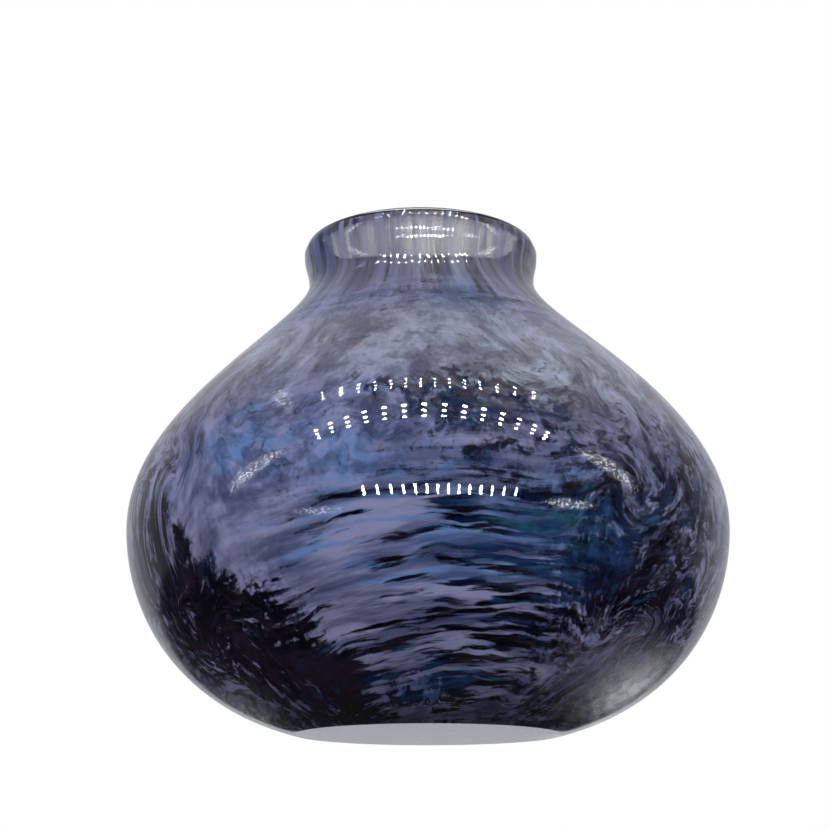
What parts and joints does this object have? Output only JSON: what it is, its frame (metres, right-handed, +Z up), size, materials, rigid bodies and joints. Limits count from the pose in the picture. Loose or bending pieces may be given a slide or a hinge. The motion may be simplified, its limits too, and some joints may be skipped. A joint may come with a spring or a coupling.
{
  "type": "glass vase",
  "caption": "Small squat hand blown glass vase with a wide belly, short flared neck, streaked colour coats under clear casing and a ground flat foot.",
  "frame": {"origin": "middle of the ground flat foot, on the surface the vase stands on", "axes": "+Z up along the turning axis; the side seen in the reference view faces -Y, with +X to the viewer's right"},
  "size_m": [0.095, 0.095, 0.0803],
  "materials": {
    "outer_casing": "clear, fire polished, ground foot",
    "lavender_frit_coat": "opal lavender frit, drawn into streaks",
    "cobalt_frit_coat": "cobalt blue frit, in soft drifts",
    "amethyst_powder_coat": "near-black amethyst powder, thin at the neck and shoulder",
    "inner_bubble": "clear, fire polished"
  },
  "bodies": {
    "root": {"outer_casing": "outer_casing", "lavender_frit_coat": "lavender_frit_coat", "cobalt_frit_coat": "cobalt_frit_coat", "amethyst_powder_coat": "amethyst_powder_coat", "inner_bubble": "inner_bubble"}
  },
  "joints": []
}
